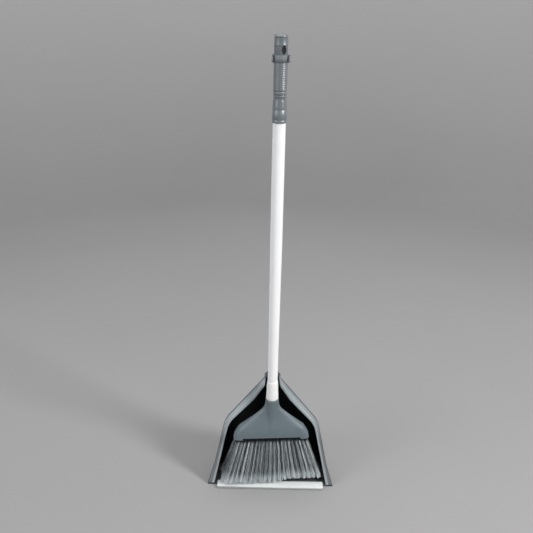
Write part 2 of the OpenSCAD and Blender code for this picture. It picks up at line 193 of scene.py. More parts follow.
def makeGrain(s):
    # fine moulded grain with a slow unevenness under it
    tree, ins, outs = newGroup(
        "mouldedGrain",
        [("Scale", floatKind, 1500.0), ("Uneven", floatKind, 18.0)],
        [("Height", floatKind), ("Mottle", floatKind)],
    )
    place = addNode(tree, "ShaderNodeTexCoord").outputs["Object"]
    fine = noise(tree, place, ins.outputs["Scale"], s["fineDetail"])
    slow = noise(tree, place, ins.outputs["Uneven"], s["slowDetail"])
    both = addNode(tree, "ShaderNodeMath", {0: slow, 1: s["slowShare"], 2: fine}, operation="MULTIPLY_ADD")
    setInputs(tree, outs, {"Height": both.outputs[0], "Mottle": slow})
    return tree


def makeWear(s):
    # lighter edges, broken up by noise, and fine dust on what faces up
    tree, ins, outs = newGroup(
        "edgeAndDust",
        [
            ("Color", colorKind, (0.1, 0.1, 0.1, 1)),
            ("Edge Color", colorKind, (0.4, 0.4, 0.4, 1)),
            ("Edge", floatKind, 0.4),
            ("Dust Color", colorKind, (0.45, 0.43, 0.4, 1)),
            ("Dust", floatKind, 0.1),
        ],
        [("Color", colorKind)],
    )
    geometry = addNode(tree, "ShaderNodeNewGeometry")
    place = addNode(tree, "ShaderNodeTexCoord").outputs["Object"]
    patches = noise(tree, place, s["patchScale"], s["patchDetail"], s["patchRough"])
    edge = mapped(tree, geometry.outputs["Pointiness"], s["edgeFrom"], s["edgeTo"], 0.0, 1.0)
    bare = multiply(tree, multiply(tree, edge, patches), ins.outputs["Edge"], clamp=True)
    worn = mixColor(tree, bare, ins.outputs["Color"], ins.outputs["Edge Color"])
    facing = addNode(tree, "ShaderNodeSeparateXYZ", {"Vector": geometry.outputs["Normal"]})
    upward = mapped(tree, facing.outputs["Z"], s["upFrom"], 1.0, 0.0, 1.0)
    settle = mapped(tree, patches, s["settleFrom"], s["settleTo"], 0.0, 1.0)
    dusty = multiply(tree, multiply(tree, upward, settle), ins.outputs["Dust"], clamp=True)
    setInputs(tree, outs, {"Color": mixColor(tree, dusty, worn, ins.outputs["Dust Color"])})
    return tree


grainGroup = makeGrain(grainSet)
wearGroup = makeWear(wearSet)


def makePlastic(name, s, colorMaker=None):
    material = bpy.data.materials.new(name)
    material.use_nodes = True
    tree = material.node_tree
    shader = tree.nodes["Principled BSDF"]
    grain = useGroup(tree, grainGroup, {"Scale": s["grain"], "Uneven": s["uneven"]})
    color = mixColor(tree, grain.outputs["Mottle"], (*s["dark"], 1), (*s["light"], 1))
    if colorMaker:
        color = colorMaker(tree, color)
    worn = useGroup(tree, wearGroup, {
        "Color": color, "Edge Color": (*s["edgeColor"], 1), "Edge": s["edge"], "Dust": s["dust"],
    })
    tree.links.new(worn.outputs["Color"], shader.inputs["Base Color"])
    smooth, coarse = s["rough"] - s["roughSwing"], s["rough"] + s["roughSwing"]
    low, high = grainSet["mottleLow"], grainSet["mottleHigh"]
    rough = mapped(tree, grain.outputs["Mottle"], low, high, smooth, coarse)
    tree.links.new(rough, shader.inputs["Roughness"])
    bump = addNode(tree, "ShaderNodeBump", {
        "Height": grain.outputs["Height"], "Strength": s["bump"], "Distance": grainSet["depth"],
    })
    tree.links.new(bump.outputs["Normal"], shader.inputs["Normal"])
    shader.inputs["Metallic"].default_value = s.get("metallic", 0.0)
    shader.inputs["Coat Weight"].default_value = s.get("coat", 0.0)
    shader.inputs["Coat Roughness"].default_value = s.get("coatRough", 0.1)
    return material


def attributeColor(name, second):
    # blends towards a second colour where the mesh's own mask is high
    def maker(tree, color):
        mask = addNode(tree, "ShaderNodeAttribute", attribute_name=name).outputs["Fac"]
        return mixColor(tree, mask, color, (*second, 1))
    return maker


finishes = {
    "slateGrip": {
        "dark": (0.1, 0.118, 0.13), "light": (0.15, 0.172, 0.188), "edgeColor": (0.34, 0.38, 0.4),
        "grain": 1800, "uneven": 25, "edge": 0.5, "dust": 0.1, "rough": 0.33, "roughSwing": 0.06,
        "bump": 0.12, "coat": 0.9, "coatRough": 0.42,
    },
    "slateHead": {
        "dark": (0.105, 0.14, 0.158), "light": (0.14, 0.178, 0.198), "edgeColor": (0.3, 0.35, 0.37),
        "grain": 1500, "uneven": 22, "edge": 0.5, "dust": 0.12, "rough": 0.5, "roughSwing": 0.06,
        "bump": 0.25,
    },
    "panPlastic": {
        "dark": (0.006, 0.007, 0.008), "light": (0.012, 0.013, 0.014), "edgeColor": (0.16, 0.17, 0.18),
        "grain": 1300, "uneven": 14, "edge": 0.3, "dust": 0.1, "rough": 0.42, "roughSwing": 0.08,
        "bump": 0.2, "coat": 0.15, "coatRough": 0.2,
    },
    "whitePaint": {
        "dark": (0.86, 0.86, 0.86), "light": (0.91, 0.915, 0.92), "edgeColor": (0.75, 0.75, 0.74),
        "grain": 900, "uneven": 9, "edge": 0.2, "dust": 0.05, "rough": 0.3, "roughSwing": 0.05,
        "bump": 0.05, "coat": 0.3, "coatRough": 0.12,
    },
    "whitePlastic": {
        "dark": (0.79, 0.79, 0.78), "light": (0.85, 0.85, 0.84), "edgeColor": (0.92, 0.92, 0.92),
        "grain": 1500, "uneven": 30, "edge": 0.3, "dust": 0.06, "rough": 0.42, "roughSwing": 0.05,
        "bump": 0.15,
    },
    "paleRubber": {
        "dark": (0.6, 0.625, 0.635), "light": (0.74, 0.765, 0.775), "edgeColor": (0.9, 0.9, 0.9),
        "grain": 1100, "uneven": 40, "edge": 0.3, "dust": 0.15, "rough": 0.55, "roughSwing": 0.08,
        "bump": 0.35,
    },
    "clipPlastic": {
        "dark": (0.02, 0.024, 0.028), "light": (0.034, 0.04, 0.046), "edgeColor": (0.5, 0.53, 0.56),
        "grain": 1600, "uneven": 40, "edge": 0.6, "dust": 0.1, "rough": 0.25, "roughSwing": 0.05,
        "bump": 0.1, "coat": 0.3,
    },
    "blockPlastic": {
        "dark": (0.008, 0.009, 0.01), "light": (0.014, 0.015, 0.016), "edgeColor": (0.08, 0.08, 0.09),
        "grain": 1200, "uneven": 30, "edge": 0.2, "dust": 0.1, "rough": 0.6, "roughSwing": 0.05,
        "bump": 0.2,
    },
    "zincSteel": {
        "dark": (0.5, 0.51, 0.52), "light": (0.62, 0.63, 0.64), "edgeColor": (0.75, 0.75, 0.75),
        "grain": 1400, "uneven": 120, "edge": 0.4, "dust": 0.05, "rough": 0.32, "roughSwing": 0.08,
        "bump": 0.1, "metallic": 1.0,
    },
}
fibreSet = {
    "tones": [(0.0, (0.045, 0.053, 0.057)), (0.45, (0.25, 0.285, 0.295)), (0.9, (0.78, 0.84, 0.86))],
    "tipColor": (0.8, 0.87, 0.9),
    "tipFrom": 0.80,  # along the strand, from root to tip
    "tipTo": 0.97,
    "tipShare": 0.85,
    # painted shade on the strands' roots, inside and just under the head
    "rootShadeColor": (0.012, 0.014, 0.015),
    "rootDark": 0.10,  # up to here the root takes the full painted shade under the head
    "rootClear": 0.155,
    "rough": 0.45,
}


def makeFibre(s):
    # each strand has its own tone, its split tip is paler, and painted shade darkens its root under the head
    material = bpy.data.materials.new("bristleFibre")
    material.use_nodes = True
    tree = material.node_tree
    shader = tree.nodes["Principled BSDF"]
    tone = addNode(tree, "ShaderNodeAttribute", attribute_name="strandTone").outputs["Fac"]
    along = addNode(tree, "ShaderNodeAttribute", attribute_name="strandAlong").outputs["Fac"]
    ramp = addNode(tree, "ShaderNodeValToRGB", {"Fac": tone})
    stops = ramp.color_ramp.elements
    (darkAt, dark), (middleAt, middle), (paleAt, pale) = s["tones"]
    stops[0].position, stops[0].color = darkAt, (*dark, 1)
    stops[1].position, stops[1].color = paleAt, (*pale, 1)
    stops.new(middleAt).color = (*middle, 1)
    tip = mapped(tree, along, s["tipFrom"], s["tipTo"], 0.0, s["tipShare"])
    color = mixColor(tree, tip, ramp.outputs["Color"], (*s["tipColor"], 1))
    root = mapped(tree, along, s["rootDark"], s["rootClear"], 1.0, 0.0)
    color = mixColor(tree, root, color, (*s["rootShadeColor"], 1))
    tree.links.new(color, shader.inputs["Base Color"])
    shader.inputs["Roughness"].default_value = s["rough"]
    return material


paints = {
    # painted light on the pan's rim and on the floor inside the pan behind its lip
    "panPlastic": attributeColor("paintedRimLight", (0.34, 0.38, 0.4)),
    # painted shade on the lip's front face, which looks away from the light above
    "paleRubber": attributeColor("paintedFrontShade", (0.24, 0.27, 0.26)),
    # painted shade inside the caps' hanging holes
    "slateCap": attributeColor("paintedHoleShade", (0.001, 0.001, 0.001)),
}
finishes["slateCap"] = {**finishes["slateGrip"], "edge": 0.3, "coat": 0.3}
materials = {name: makePlastic(name, s, paints.get(name)) for name, s in finishes.items()}
materials["bristleFibre"] = makeFibre(fibreSet)
print("materials made")


# mesh helpers

def link(obj):
    scene.collection.objects.link(obj)
    return obj


def finishPiece(obj, body, material, nodes):
    obj.data.materials.clear()
    obj.data.materials.append(materials[material])
    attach(obj, body)
    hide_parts(*nodes)


def smoothMesh(mesh, angle):
    mesh.shade_smooth()
    mesh.set_sharp_from_angle(angle=math.radians(angle))


def cleanCopy(node, name, angle=30.0):
    # the CAD solid, welded and shaded smooth where it is round
    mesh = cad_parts[node].data.copy()
    work = bmesh.new()
    work.from_mesh(mesh)
    bmesh.ops.remove_doubles(work, verts=work.verts, dist=1e-6)
    work.to_mesh(mesh)
    work.free()
    mesh.normals_split_custom_set([(0, 0, 0)] * len(mesh.loops))  # zeros clear the stored normals
    smoothMesh(mesh, angle)
    return link(bpy.data.objects.new(name, mesh))


def meshFrom(name, points, faces):
    mesh = bpy.data.meshes.new(name)
    mesh.from_pydata([tuple(p) for p in points], [], faces)
    mesh.update()
    return mesh


# pieces that keep their CAD shape

keptPieces = [
    ("pan_tube", "tube_paint", "whitePaint", "dustpan"),
    ("pan_collar", "grip_plastic", "slateGrip", "dustpan"),
    ("pan_grip", "grip_plastic", "slateGrip", "dustpan"),
    ("pan_screw", "screw_steel", "zincSteel", "dustpan"),
    ("pan_plug", "inner_plastic", "blockPlastic", "dustpan"),
    ("brush_clip", "clip_plastic", "clipPlastic", "dustpan"),
    ("brush_grip", "grip_plastic", "slateGrip", "brush"),
    ("brush_collar", "grip_plastic", "slateGrip", "brush"),
    ("brush_tube", "tube_paint", "whitePaint", "brush"),
    ("thread_plug", "inner_plastic", "blockPlastic", "brush"),
    ("bristle_block", "inner_plastic", "blockPlastic", "brush"),
    ("block_screws", "screw_steel", "zincSteel", "brush"),
    ("tuft_staples", "screw_steel", "zincSteel", "brush"),
]
for node, slotName, material, body in keptPieces:
    piece = cleanCopy(node, node + "_skin")
    finishPiece(piece, body, material, [node])
print("kept pieces finished")


# pan: one skin lofted through level rings, with the socket and the lip's room cut in

panSet = {
    "neckHalf": 0.015,
    "shoulderHalf": 0.0865,
    "shoulderZ": 0.133,
    "mouthHalf": 0.1155,
    "neckDrop": 0.021,  # from the rim's top to where the neck ends
    "neckFootOut": 0.021,
    "neckFootDown": 0.030,
    "rimTop": 0.235,
    "rimShoulder": 0.0120,
    "rimSide": 0.0094,
    "rimFoot": 0.0135,
    "footZ": 0.047,
    "rimLean": 0.18,
    "rimSetBack": 0.0137,
    "wall": 0.0025,
    "floor": 0.003,
    "heel": 0.022,
    "archPower": 0.42,
    "levels": 72,
    "archSteps": 56,
    "bead": 0.0011,  # rolled edge round the rim
    "strip": 0.0008,  # raised strip round the mouth
    "mouthRadii": [0.010, 0.060, 0.048],
    "rimRadii": [0.052, 0.060],
    "backRise": 0.005,  # from the handle's axis back to the pan's back at the rim's top
    "backPower": 2.2,
    "levelSpread": 0.35,  # above 0 the rings stand closer together at the floor
    "smoothAngle": 32,
}
socketSet = {
    "r": 0.0126,
    "bore": 0.00975,
    "bottom": 0.205,
    "boreUp": 0.007,
    "band": 0.0008,
    "belly": [(0, -0.010), (0.004, -0.010), (0.0085, -0.007), (0.0115, -0.003)],  # under the socket
    "seatR": 0.0046,  # for the screw's head
    "seatFrom": 0.012,
    "seatTo": 0.04,
    "gap": 0.00005,  # round the lip
}
# painted light and shade on the pan: the rim's strip, face and edge are painted lighter, fully above the
# shoulder and less near the ground and at the outer edge, and a band of the floor behind the lip is painted
# lighter
rimLightPaint = {
    "floorLightTone": 0.32,  # how far the floor's painted light goes towards the rim's colour
    "floorLightBand": 0.004,
    "slack": 0.0002,
    "depth": 0.0003,  # how far behind the rim's face the paint reaches
    "lowest": 0.0035,
    "bands": (0.4, 0.9),  # shares of the rim's width where the strip and the face end
    "lowTones": (1.0, 0.42, 0.2),  # painted light on the strip, face and edge near the ground
    "highTones": (1.0, 1.0, 0.45),
    "fadeFrom": 0.10,
    "fadeOver": 0.05,
}


def roundedPath(points, radii, steps=10):
    # straight lines whose inner corners are arcs
    path = [Vector(points[0])]
    for i, radius in enumerate(radii, start=1):
        a, b, c = (Vector(p) for p in points[i - 1:i + 2])
        u = (a - b).normalized()
        v = (c - b).normalized()
        half = math.acos(max(-1.0, min(1.0, u.dot(v)))) / 2
        reach = min(radius / math.tan(half), (a - b).length * 0.49, (c - b).length * 0.49)
        arc = reach * math.tan(half)
        middle = b + (u + v).normalized() * arc / math.sin(half)
        start = b + u * reach - middle
        end = b + v * reach - middle
        turn = start.angle_signed(end)
        for k in range(steps + 1):
            angle = -turn * k / steps
            path.append(middle + Vector((
                start.x * math.cos(angle) - start.y * math.sin(angle),
                start.x * math.sin(angle) + start.y * math.cos(angle))))
    path.append(Vector(points[-1]))
    return path


def halfWidthAt(path, z):
    # path goes from top to bottom as (half width, z)
    for a, b in zip(path, path[1:]):
        if a.y >= z >= b.y and a.y > b.y:
            return a.x + (b.x - a.x) * (a.y - z) / (a.y - b.y)
    return path[0].x if z > path[0].y else path[-1].x


def meetLines(p, u, q, v):
    t = ((q.x - p.x) * v.y - (q.y - p.y) * v.x) / (u.x * v.y - u.y * v.x)
    return p + u * t


def panPaths(s):
    mouth = [
        Vector((s["neckHalf"] - 0.002, s["rimTop"])),
        Vector((s["neckHalf"], s["rimTop"] - s["neckDrop"])),
        Vector((s["neckHalf"] + s["neckFootOut"], s["rimTop"] - s["neckDrop"] - s["neckFootDown"])),
        Vector((s["shoulderHalf"], s["shoulderZ"])),
        Vector((s["mouthHalf"], 0)),
    ]
    shoulder = (mouth[3] - mouth[1]).normalized()
    side = (mouth[4] - mouth[3]).normalized()
    corner = meetLines(
        mouth[3] + Vector((-shoulder.y, shoulder.x)) * s["rimShoulder"], shoulder,
        mouth[3] + Vector((-side.y, side.x)) * s["rimSide"], side)
    rim = [
        meetLines(Vector((s["neckHalf"] - 0.001, 0)), Vector((0, 1)), corner, shoulder),
        corner,
        Vector((s["mouthHalf"] + s["rimSide"] + s["footZ"] * side.x / side.y, s["footZ"])),
        Vector((s["mouthHalf"] + s["rimFoot"], 0)),
    ]
    return roundedPath(mouth, s["mouthRadii"]), roundedPath(rim, s["rimRadii"])


def loftRings(rings, split):
    # walls between equal rings; both ends are closed as outer face, inner face and front edge
    count = len(rings[0])
    points = [p for ring in rings for p in ring]
    faces = []
    for k in range(len(rings) - 1):
        for i in range(count):
            a, b = k * count + i, k * count + (i + 1) % count
            faces.append((a, b, b + count, a + count))
    for k, flip in ((0, True), (len(rings) - 1, False)):
        base = k * count
        ends = [
            [base + i for i in range(split)],
            [base + i for i in range(split, count)],
            [base, base + split - 1, base + split, base + count - 1],
        ]
        faces += [tuple(reversed(face)) if flip else tuple(face) for face in ends]
    return points, faces


def panRings(s):
    mouthPath, rimPath = panPaths(s)
    front = lipLow.y + s["rimSetBack"]
    backIn = panHigh.y - s["wall"]
    backTop = panAxisY + s["backRise"]
    heelZ = s["floor"] + s["heel"]

    def backAt(z):
        bow = (backIn - backTop) * (max(0.0, z - heelZ) / (s["rimTop"] - heelZ)) ** s["backPower"]
        dip = 0.0 if z >= heelZ else s["heel"] - math.sqrt(max(0.0, s["heel"] ** 2 - (heelZ - z) ** 2))
        return backIn - bow - dip

    def arch(half, y0, y1, z):
        row = []
        for i in range(s["archSteps"] + 1):
            a = math.pi * i / s["archSteps"]
            c, d = math.cos(a), max(0.0, math.sin(a))
            x = math.copysign(abs(c) ** s["archPower"], c) if abs(c) > 1e-9 else 0.0
            row.append(Vector((half * x, y0 + (y1 - y0) * d ** s["archPower"], z)))
        return row

    def ring(z):
        y = front + z * s["rimLean"]
        zIn = s["floor"] + z * (s["rimTop"] - 2 * s["floor"]) / s["rimTop"]
        yIn = front + zIn * s["rimLean"]
        inner = halfWidthAt(mouthPath, z)
        edge = max(halfWidthAt(rimPath, z), inner + s["wall"] + 0.0002)
        bead = min(s["bead"], (edge - inner - s["wall"]) * 0.3)
        width = edge - inner
        strip = min(s["strip"], width * 0.08)
        # from the mouth outwards: raised strip, flat face, bead, and back round the edge
        tip = [
            Vector((inner + width * 0.04, y - 0.6 * strip, z)),
            Vector((inner + width * 0.10, y - strip, z)),
            Vector((inner + width * 0.36, y - strip, z)),
            Vector((inner + width * 0.44, y, z)),
            Vector((edge - 3.4 * bead, y, z)),
            Vector((edge - 2.2 * bead, y, z)),
            Vector((edge - 1.3 * bead, y - 0.45 * bead, z)),
            Vector((edge - 0.5 * bead, y - 0.2 * bead, z)),
            Vector((edge, y + 0.6 * bead, z)),
            Vector((edge, y + s["wall"] - 0.4 * bead, z)),
            Vector((edge - 0.5 * bead, y + s["wall"], z)),
        ]
        mirror = [Vector((-p.x, p.y, p.z)) for p in reversed(tip)]
        outside = arch(inner + s["wall"], y + s["wall"], backAt(zIn) + s["wall"], z)
        inside = list(reversed(arch(halfWidthAt(mouthPath, zIn), yIn, backAt(zIn), zIn)))
        return tip + outside + mirror + inside, len(tip) * 2 + len(outside)

    heights = []
    for i in range(s["levels"] + 1):
        t = i / s["levels"]
        heights.append(s["rimTop"] * (t * (1 - s["levelSpread"]) + s["levelSpread"] * t * t))
    made = [ring(z) for z in heights]
    return [r[0] for r in made], made[0][1]


def revolve(profile, steps=64):
    # a closed ring of (radius, z) turned about Z; turned() merges the points on the axis
    points = []
    faces = []
    count = len(profile)
    for k in range(steps):
        a = 2 * math.pi * k / steps
        points += [Vector((r * math.cos(a), r * math.sin(a), z)) for r, z in profile]
    for k in range(steps):
        n = (k + 1) % steps
        for i in range(count):
            j = (i + 1) % count
            faces.append((k * count + i, n * count + i, n * count + j, k * count + j))
    return points, faces


def tidyMesh(mesh):
    work = bmesh.new()
    work.from_mesh(mesh)
    bmesh.ops.remove_doubles(work, verts=work.verts, dist=1e-6)
    bmesh.ops.dissolve_degenerate(work, edges=work.edges, dist=1e-7)
    bmesh.ops.recalc_face_normals(work, faces=work.faces)
    work.to_mesh(mesh)
    work.free()


def turned(name, profile, place, steps=64):
    points, faces = revolve(profile, steps)
    mesh = meshFrom(name, [p + place for p in points], faces)
    tidyMesh(mesh)
    return link(bpy.data.objects.new(name, mesh))


def boxAt(name, low, high):
    x0, y0, z0 = low
    x1, y1, z1 = high
    points = [(x, y, z) for z in (z0, z1) for y in (y0, y1) for x in (x0, x1)]
    faces = [(0, 2, 3, 1), (4, 5, 7, 6), (0, 1, 5, 4), (2, 6, 7, 3), (0, 4, 6, 2), (1, 3, 7, 5)]
    return link(bpy.data.objects.new(name, meshFrom(name, points, faces)))


def carve(obj, tools):
    # runs booleans one after another and keeps the plain result; the tools are deleted
    for operation, tool in tools:
        modifier = obj.modifiers.new("carve", "BOOLEAN")
        modifier.operation = operation
        modifier.object = tool
        modifier.solver = "EXACT"
        graph = bpy.context.evaluated_depsgraph_get()
        mesh = bpy.data.meshes.new_from_object(obj.evaluated_get(graph))
        obj.modifiers.remove(modifier)
        obj.data = mesh
        bpy.data.objects.remove(tool)


def socketTools(s):
    # the socket's body, its bore and the seat for the screw's head, where they stand in the pan
    low, high, r, outer, bore = s["bottom"], panHigh.z, s["r"], s["r"] + s["band"], s["bore"]
    axis = Vector((0, panAxisY, 0))
    body = turned("socket", [(x, low + z) for x, z in s["belly"]] + [
        (r, low + 0.001), (r, high - 0.0056), (outer, high - 0.0048), (outer, high - 0.0008),
        (r + 0.0002, high), (0, high),
    ], axis)
    hole = turned("bore", [
        (0, low + s["boreUp"]), (bore, low + s["boreUp"]), (bore, high - 0.0006),
        (bore + 0.0012, high + 0.0006), (0, high + 0.0006),
    ], axis)
    near, far, seatR = s["seatFrom"], s["seatTo"], s["seatR"]
    seat = turned("seat", [(0, near), (seatR, near), (seatR, far), (0, far)], Vector((0, 0, 0)), 40)
    place = Matrix.Translation((0, panAxisY, centreOf("pan_screw").z))
    seat.data.transform(place @ Matrix.Rotation(-math.pi / 2, 4, "X"))
    return body, hole, seat


def paintRimLight(mesh, s, paint):
    # paints light into the pan's mask: the rim brighter where it faces up, dimmer low down and at its outer
    # edge, and a lit band on the floor, which faces up
    mouthPath, rimPath = panPaths(s)
    front = lipLow.y + s["rimSetBack"]
    floor = s["floor"]
    mask = mesh.attributes.new("paintedRimLight", "FLOAT", "POINT")
    for vertex in mesh.vertices:
        x, y, z = abs(vertex.co.x), vertex.co.y, vertex.co.z
        inner, edge = halfWidthAt(mouthPath, z), halfWidthAt(rimPath, z)
        if x < inner - paint["slack"]:
            if floor - 0.0001 < z < floor + paint["floorLightBand"]:
                mask.data[vertex.index].value = paint["floorLightTone"]
            continue
        if y - (front + z * s["rimLean"]) > paint["depth"] or z < paint["lowest"]:
            continue
        across = (x - inner) / (edge - inner)
        band = sum(across >= end for end in paint["bands"])
        low, high = paint["lowTones"][band], paint["highTones"][band]
        up = max(0.0, min(1.0, (z - paint["fadeFrom"]) / paint["fadeOver"]))
        mask.data[vertex.index].value = low + (high - low) * up


def makePan(s, socket, paint):
    rings, split = panRings(s)
    mesh = meshFrom("pan_skin", *loftRings(rings, split))
    tidyMesh(mesh)
    pan = link(bpy.data.objects.new("pan_skin", mesh))
    body, hole, seat = socketTools(socket)
    gap = socket["gap"]
    half = (lipHigh.x - lipLow.x) / 2 + gap
    room = boxAt("room", (-half, lipLow.y - 0.001, -0.001), (half, lipHigh.y + gap, lipHigh.z))
    carve(pan, [("DIFFERENCE", room), ("UNION", body), ("DIFFERENCE", hole), ("DIFFERENCE", seat)])
    smoothMesh(pan.data, s["smoothAngle"])
    paintRimLight(pan.data, s, paint)
    return pan


pan = makePan(panSet, socketSet, rimLightPaint)
finishPiece(pan, "dustpan", "panPlastic", ["pan_shell"])
print("pan", len(pan.data.polygons), "faces")


# brush head: a thin bell with a round neck blended into it

headSet = {
    "top": 0.200,
    "bottom": 0.112,
    "neckTop": 0.0127,
    "neckFoot": 0.0072,
    "neckLength": 0.050,
    "neckBlend": 0.011,
    "halfDepth": 0.0140,
    "shoulderDepth": 0.0085,
    "sideHalf": 0.0755,
    "shoulderHalf": 0.066,
    "shoulderUp": 0.023,
    "sideUp": 0.008,
    "wall": 0.0025,
    "slotHalf": 0.058,
    "slotHeight": 0.004,
    "slotExtra": 0.0004,  # the slot also takes this much of the hollow behind the wall
    "turn": 4.5,
    "levels": 44,
    "steps": 64,
    "plainUntil": 0.12,  # share of the height that keeps the full depth
    "plainFade": 0.5,
    "boxPower": 16.0,  # the lower section is nearly a box, the upper one a lens
    "lensPower": 2.8,
    "boxRoot": 3.2,
    "lensRoot": 2.4,
    "neckStart": -0.35,  # in neck lengths, from its foot
    "neckFade": 0.6,
    "edgeFade": 0.004,
    "innerUp": 0.016,  # depth of the hollow
    "topRound": 0.0012,
    "bore": 0.00745,
    "boreFrom": 0.167,
    "boreTo": 0.21,
    "smoothAngle": 35,
}


def smoothMax(a, b, k):
    h = max(k - abs(a - b), 0.0) / k
    return max(a, b) + h * h * k * 0.25


def makeHead(s):
    outline = roundedPath([
        (s["neckTop"], s["top"]),
        (s["neckTop"] + 0.002, s["top"] - 0.020),
        (s["shoulderHalf"], s["bottom"] + s["shoulderUp"]),
        (s["sideHalf"] - 0.001, s["bottom"] + s["sideUp"]),
        (s["sideHalf"] + 0.0006, s["bottom"]),
    ], [0.045, 0.020, 0.020], 14)

    def depthAt(x, z, inset):
        half = max(halfWidthAt(outline, z) - inset, 0.002)
        up = (z - s["bottom"]) / (s["top"] - s["bottom"])
        blend = min(1.0, max(0.0, (up - s["plainUntil"]) / s["plainFade"]))
        blend = blend * blend * (3 - 2 * blend)
        plate = s["halfDepth"] + (s["shoulderDepth"] - s["halfDepth"]) * blend - inset
        power = s["boxPower"] + (s["lensPower"] - s["boxPower"]) * blend
        root = s["boxRoot"] + (s["lensRoot"] - s["boxRoot"]) * blend
        flat = plate * max(0.0, 1 - min(1.0, abs(x) / half) ** power) ** (1 / root)
        neckUp = (z - (s["top"] - s["neckLength"])) / s["neckLength"]
        if neckUp <= s["neckStart"]:
            return flat
        radius = s["neckFoot"] + (s["neckTop"] - s["neckFoot"]) * max(0.0, min(1.0, neckUp)) - inset
        if radius > plate:
            fade = min(1.0, (neckUp - s["neckStart"]) / s["neckFade"])
            radius = plate + (radius - plate) * fade * fade * (3 - 2 * fade)
        neck = math.sqrt(max(0.0, radius * radius - x * x)) if abs(x) < radius else 0.0
        edgeFade = min(1.0, (half - abs(x)) / s["edgeFade"])
        return smoothMax(flat, neck, s["neckBlend"] * edgeFade + 1e-6)

    def ring(z, inset=0.0):
        half = max(halfWidthAt(outline, z) - inset, 0.002)
        row = []
        for k in range(2 * s["steps"]):
            a = math.pi * k / s["steps"]
            x = half * math.cos(a)
            y = depthAt(x, z, inset)
            side = -1 if math.sin(a) > 0 else 1
            row.append(Vector((x, side * y if 0 < k != s["steps"] else 0.0, z)))
        return row

    rings = [ring(s["bottom"] + s["innerUp"], s["wall"]), ring(s["bottom"], s["wall"])]
    rings += [ring(s["bottom"] + (s["top"] - s["bottom"]) * i / s["levels"]) for i in range(s["levels"] + 1)]
    rings.append(ring(s["top"] - 0.0001, s["topRound"]))
    count = 2 * s["steps"]
    points = [p for r in rings for p in r]
    faces = []
    for k in range(len(rings) - 1):
        for i in range(count):
            a, b = k * count + i, k * count + (i + 1) % count
            faces.append((a, b, b + count, a + count))
    faces.append(tuple(range(count)))
    faces.append(tuple(reversed(range((len(rings) - 1) * count, len(rings) * count))))
    mesh = meshFrom("brush_head", points, faces)
    tidyMesh(mesh)
    head = link(bpy.data.objects.new("brush_head", mesh))
    near, far, r = s["boreFrom"], s["boreTo"], s["bore"]
    bore = turned("bore", [(0, near), (r, near), (r, far), (0, far)], Vector((0, 0, 0)), 48)
    slot = boxAt(
        "slot", (-s["slotHalf"], -0.03, s["bottom"] - 0.001),
        (s["slotHalf"], -s["halfDepth"] + s["wall"] + s["slotExtra"], s["bottom"] + s["slotHeight"]))
    carve(head, [("DIFFERENCE", bore), ("DIFFERENCE", slot)])
    turn = Matrix.Rotation(math.radians(s["turn"]), 4, "Z")
    head.data.transform(Matrix.Translation((0, brushAxisY, 0)) @ turn)
    smoothMesh(head.data, s["smoothAngle"])
    return head


head = makeHead(headSet)
finishPiece(head, "brush", "slateHead", ["head_shell"])
print("head", len(head.data.polygons), "faces")


# lip, with painted shade on its front

frontFacing = -0.55  # a face whose normal's y is below this is on the lip's front
lip = cleanCopy("pan_lip", "lip_skin")
shade = lip.data.attributes.new("paintedFrontShade", "FLOAT", "FACE")
for face in lip.data.polygons:
    shade.data[face.index].value = 1.0 if face.normal.y < frontFacing else 0.0
finishPiece(lip, "dustpan", "paleRubber", ["pan_lip"])


# hanging caps: turned, then pierced by the hanging hole

capSet = {
    "length": 0.030,
    "r": 0.0113,
    "spigotR": 0.0086,
    "spigotLength": 0.012,
    "holeUp": 0.0082,
    "holeHalfWidth": 0.00425,
    "holeHalfHeight": 0.0075,
    "holePower": 1.75,  # below 2 draws the ends to a point
    "turn": 25.0,
    "foot": [(-0.0005, 0), (0, 0.0008)],  # (beyond r, above the foot)
    "crown": [  # (beyond r, below the top)
        (0, -0.0166), (-0.0007, -0.0162), (-0.0007, -0.0155), (0.0005, -0.0150), (0.0005, -0.0141),
        (-0.0001, -0.0128), (-0.0001, -0.0040), (-0.0011, -0.0034), (-0.0011, -0.0024),
        (-0.0002, -0.0018), (-0.0004, -0.0007), (-0.0012, 0),
    ],
    "steps": 96,
    "holeSteps": 48,
    "punchHalf": 0.03,
    "maskUp": 0.0005,  # how far past the hole the painted shade of its lining may reach
    "maskAside": 0.0003,
    "liningY": 0.2,  # lining faces look sideways, and not away from the cap's axis
    "liningOut": 0.3,
    "smoothAngle": 32,
}


